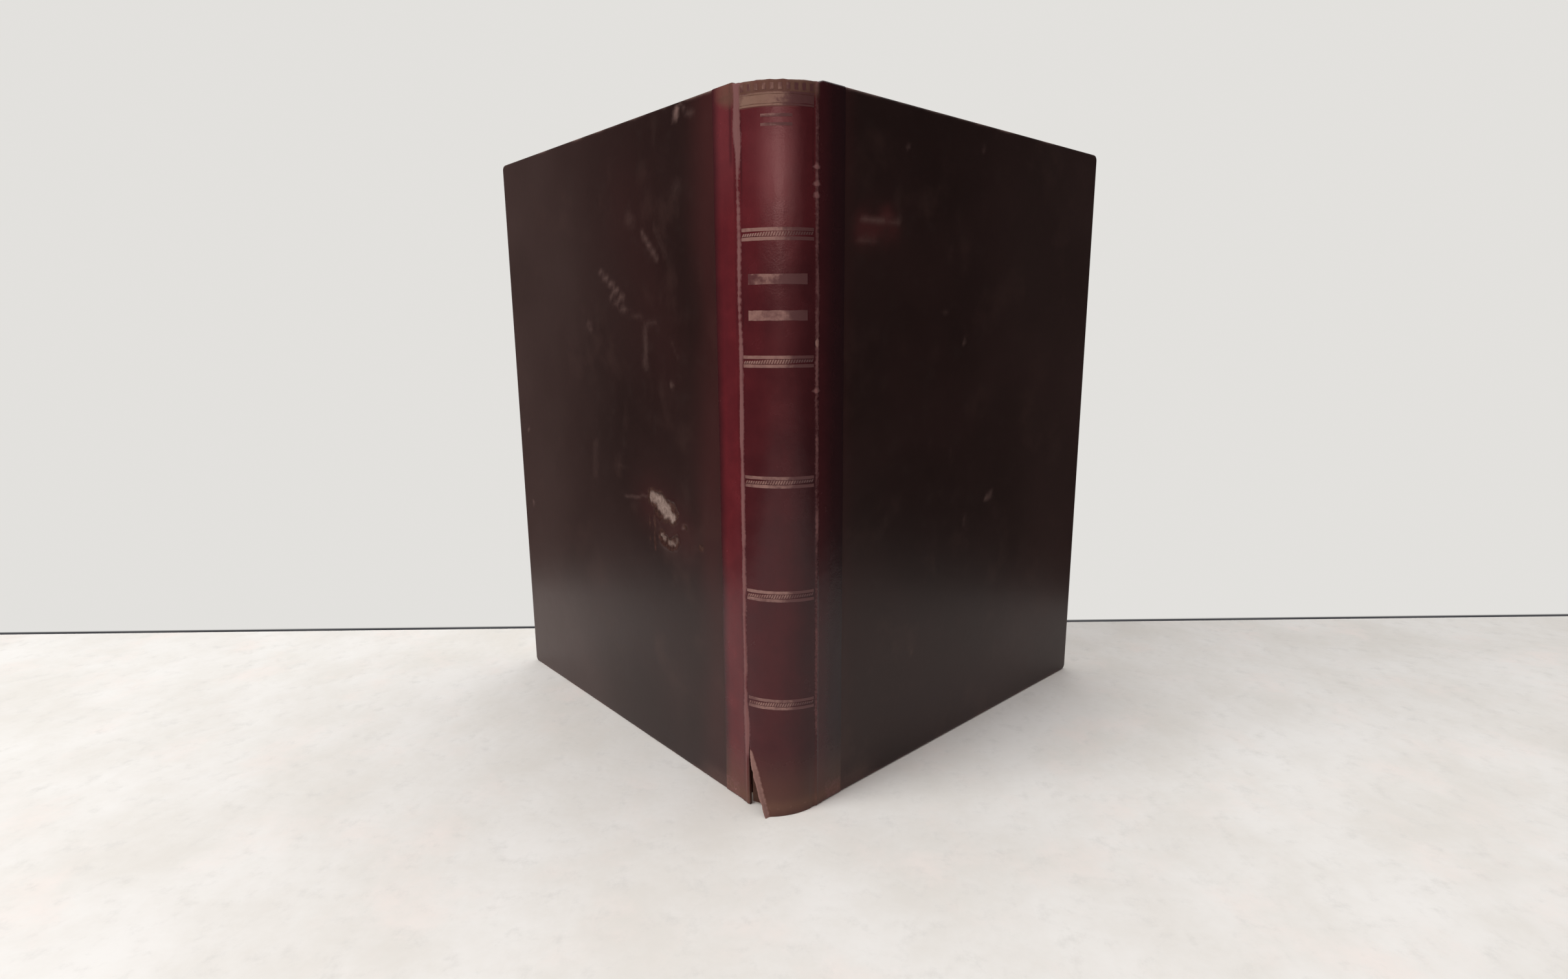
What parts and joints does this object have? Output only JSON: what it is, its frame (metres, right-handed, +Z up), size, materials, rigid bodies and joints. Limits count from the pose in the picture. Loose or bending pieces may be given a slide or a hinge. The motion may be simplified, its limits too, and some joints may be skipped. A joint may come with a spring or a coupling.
{
  "type": "antique leather book",
  "caption": "Old quarter-bound book standing on its tail with both covers splayed: red leather spine with gilt bands, dark polished sides, closed text block.",
  "frame": {"origin": "middle of the floor under the standing book, by its bounding box", "axes": "+Z up from the tail to the head, the spine faces -Y, the front cover is on the +X side"},
  "size_m": [0.2818, 0.189, 0.254],
  "materials": {
    "pages": "aged page edges",
    "endpaper": "aged laid paper",
    "cord": "hemp cord",
    "endband_silk": "faded silk over cord",
    "lining_paper": "brown lining paper",
    "card": "brown card",
    "red_leather": "worn polished red leather",
    "gilt": "worn gold leaf",
    "pasteboard": "cream pasteboard",
    "dark_leather": "glazed, almost black"
  },
  "bodies": {
    "block": {"text_block": "pages", "front_free_endpaper": "endpaper", "rear_free_endpaper": "endpaper", "sewing_cord_1": "cord", "sewing_cord_2": "cord", "sewing_cord_3": "cord", "sewing_cord_4": "cord", "sewing_cord_5": "cord", "head_endband": "endband_silk", "tail_endband": "endband_silk", "spine_lining": "lining_paper", "spine_inlay": "card", "spine_leather": "red_leather", "gilt_tooling": "gilt"},
    "front_cover": {"front_board": "pasteboard", "front_cord_slips": "cord", "front_leather_strip": "red_leather", "front_side_cover": "dark_leather", "front_pastedown": "endpaper"},
    "rear_cover": {"rear_board": "pasteboard", "rear_cord_slips": "cord", "rear_leather_strip": "red_leather", "rear_side_cover": "dark_leather", "rear_pastedown": "endpaper"}
  },
  "joints": [
    {"name": "front_joint", "type": "hinge", "parent": "block", "child": "front_cover", "pos_m": [0.01271, -0.08605, 0.127], "axis": [0, 0, -1], "range_deg": [-44.4, 135.6]},
    {"name": "rear_joint", "type": "hinge", "parent": "block", "child": "rear_cover", "pos_m": [-0.01271, -0.08605, 0.127], "axis": [0, 0, 1], "range_deg": [-44.4, 135.6]}
  ]
}
